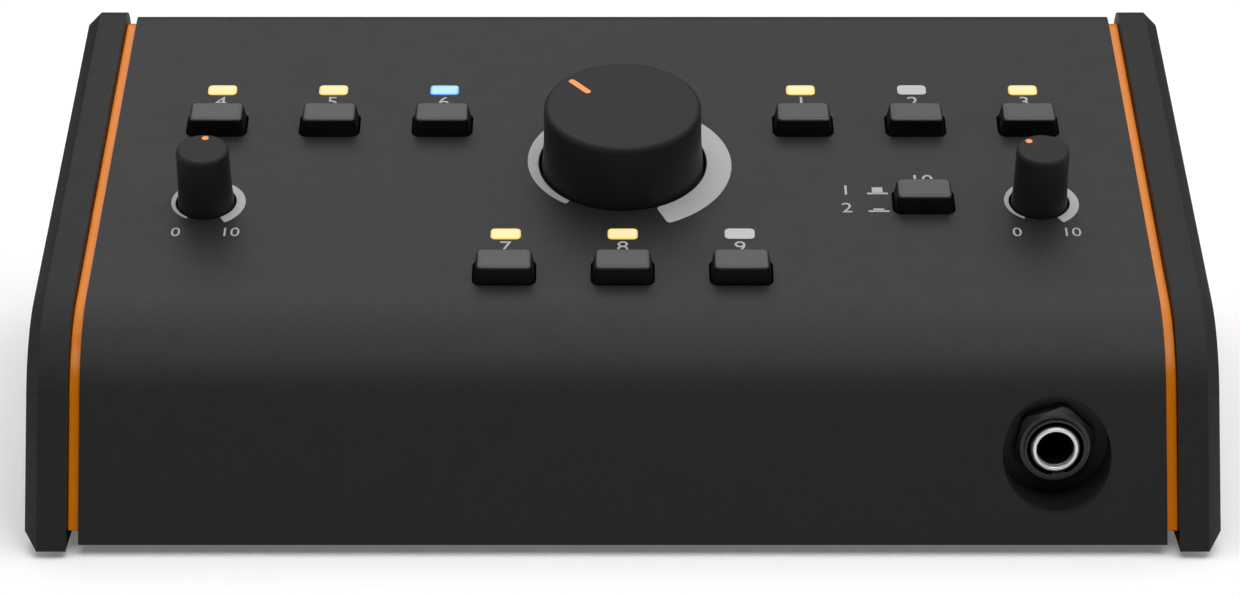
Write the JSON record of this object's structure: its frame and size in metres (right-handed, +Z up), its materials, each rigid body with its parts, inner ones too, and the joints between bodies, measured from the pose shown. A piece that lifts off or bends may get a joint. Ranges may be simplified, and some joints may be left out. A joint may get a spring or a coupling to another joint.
{
  "type": "studio monitor controller",
  "caption": "Sloping desktop monitor controller with side cheeks, volume knob, push buttons, indicator windows and a front headphone socket.",
  "frame": {"origin": "middle of the footprint, on the surface under the rubber feet", "axes": "+X across the width to the right seen from the front, +Y to the rear, +Z up"},
  "size_m": [0.202, 0.1222, 0.0631],
  "materials": {
    "cover_finish": "fine matt powder coat",
    "cheek_finish": "fine textured",
    "accent_acrylic": "glossy edge",
    "plated_steel": "zinc plated",
    "black_plastic": "moulded",
    "circuit_board": "lacquered",
    "knob_rubber": "soft touch",
    "mark_paint": "inlaid",
    "shaft_metal": "turned",
    "button_plastic": "fine textured",
    "stem_plastic": "moulded",
    "amber_light": "lit",
    "blue_light": "lit",
    "unlit_window": "frosted",
    "bright_metal": "polished",
    "foot_rubber": "matt"
  },
  "bodies": {
    "root": {"amber_windows": "amber_light", "blue_window": "blue_light", "chassis_tray": "plated_steel", "clear_windows": "unlit_window", "control_board": "circuit_board", "control_board_posts": "plated_steel", "housing_screws": "plated_steel", "indicator_lamps": "unlit_window", "left_accent_plate": "accent_acrylic", "left_cheek": "cheek_finish", "level_pots": "black_plastic", "main_board": "circuit_board", "main_board_spacers": "plated_steel", "phones_jack_body": "black_plastic", "phones_jack_nut": "black_plastic", "phones_jack_ring": "bright_metal", "phones_recess_sleeve": "black_plastic", "phono_barrels": "bright_metal", "phono_block": "black_plastic", "power_switch_body": "black_plastic", "rear_jack_bodies": "black_plastic", "rear_jack_nuts": "black_plastic", "rear_jack_rings": "bright_metal", "right_accent_plate": "accent_acrylic", "right_cheek": "cheek_finish", "rubber_feet": "foot_rubber", "supply_inlet": "black_plastic", "switch_housings": "black_plastic", "top_cover": "cover_finish", "volume_pot": "shaft_metal"},
    "volume": {"volume_knob": "knob_rubber", "volume_mark": "mark_paint", "volume_shaft": "shaft_metal"},
    "source": {"source_knob": "knob_rubber", "source_mark": "mark_paint", "source_shaft": "shaft_metal"},
    "phones": {"phones_knob": "knob_rubber", "phones_mark": "mark_paint", "phones_shaft": "shaft_metal"},
    "power_rocker": {"power_rocker": "black_plastic"},
    "button_1": {"button_1": "button_plastic", "button_1_stem": "stem_plastic"},
    "button_2": {"button_2": "button_plastic", "button_2_stem": "stem_plastic"},
    "button_3": {"button_3": "button_plastic", "button_3_stem": "stem_plastic"},
    "button_4": {"button_4": "button_plastic", "button_4_stem": "stem_plastic"},
    "button_5": {"button_5": "button_plastic", "button_5_stem": "stem_plastic"},
    "button_6": {"button_6": "button_plastic", "button_6_stem": "stem_plastic"},
    "button_7": {"button_7": "button_plastic", "button_7_stem": "stem_plastic"},
    "button_8": {"button_8": "button_plastic", "button_8_stem": "stem_plastic"},
    "button_9": {"button_9": "button_plastic", "button_9_stem": "stem_plastic"},
    "latch_button": {"latch_button": "button_plastic", "latch_button_stem": "stem_plastic"}
  },
  "joints": [
    {"name": "volume_turn", "type": "hinge", "parent": "root", "child": "volume", "pos_m": [0, 0.00295, 0.0483], "axis": [0, -0.2711, 0.9626], "range_deg": [-202, 98]},
    {"name": "source_turn", "type": "hinge", "parent": "root", "child": "source", "pos_m": [-0.07365, -0.00889, 0.04496], "axis": [0, -0.2711, 0.9626], "range_deg": [-145, 155]},
    {"name": "phones_turn", "type": "hinge", "parent": "root", "child": "phones", "pos_m": [0.07365, -0.00889, 0.04496], "axis": [0, -0.2711, 0.9626], "range_deg": [-195, 105]},
    {"name": "button_1_press", "type": "slide", "parent": "root", "child": "button_1", "axis": [0, 0.2711, -0.9626], "range_m": [0, 0.0016], "stiffness_N_per_m": 600, "springref_m": -0.0002},
    {"name": "button_2_press", "type": "slide", "parent": "root", "child": "button_2", "axis": [0, 0.2711, -0.9626], "range_m": [0, 0.0016], "stiffness_N_per_m": 600, "springref_m": -0.0002},
    {"name": "button_3_press", "type": "slide", "parent": "root", "child": "button_3", "axis": [0, 0.2711, -0.9626], "range_m": [0, 0.0016], "stiffness_N_per_m": 600, "springref_m": -0.0002},
    {"name": "button_4_press", "type": "slide", "parent": "root", "child": "button_4", "axis": [0, 0.2711, -0.9626], "range_m": [0, 0.0016], "stiffness_N_per_m": 600, "springref_m": -0.0002},
    {"name": "button_5_press", "type": "slide", "parent": "root", "child": "button_5", "axis": [0, 0.2711, -0.9626], "range_m": [0, 0.0016], "stiffness_N_per_m": 600, "springref_m": -0.0002},
    {"name": "button_6_press", "type": "slide", "parent": "root", "child": "button_6", "axis": [0, 0.2711, -0.9626], "range_m": [0, 0.0016], "stiffness_N_per_m": 600, "springref_m": -0.0002},
    {"name": "button_7_press", "type": "slide", "parent": "root", "child": "button_7", "axis": [0, 0.2711, -0.9626], "range_m": [0, 0.0016], "stiffness_N_per_m": 600, "springref_m": -0.0002},
    {"name": "button_8_press", "type": "slide", "parent": "root", "child": "button_8", "axis": [0, 0.2711, -0.9626], "range_m": [0, 0.0016], "stiffness_N_per_m": 600, "springref_m": -0.0002},
    {"name": "button_9_press", "type": "slide", "parent": "root", "child": "button_9", "axis": [0, 0.2711, -0.9626], "range_m": [0, 0.0016], "stiffness_N_per_m": 600, "springref_m": -0.0002},
    {"name": "latch_button_press", "type": "slide", "parent": "root", "child": "latch_button", "axis": [0, 0.2711, -0.9626], "range_m": [0, 0.0016], "stiffness_N_per_m": 600, "springref_m": -0.0002},
    {"name": "power_rocker_tilt", "type": "hinge", "parent": "root", "child": "power_rocker", "pos_m": [-0.062, 0.05307, 0.0213], "axis": [1, 0, 0], "range_deg": [0, 22]}
  ]
}
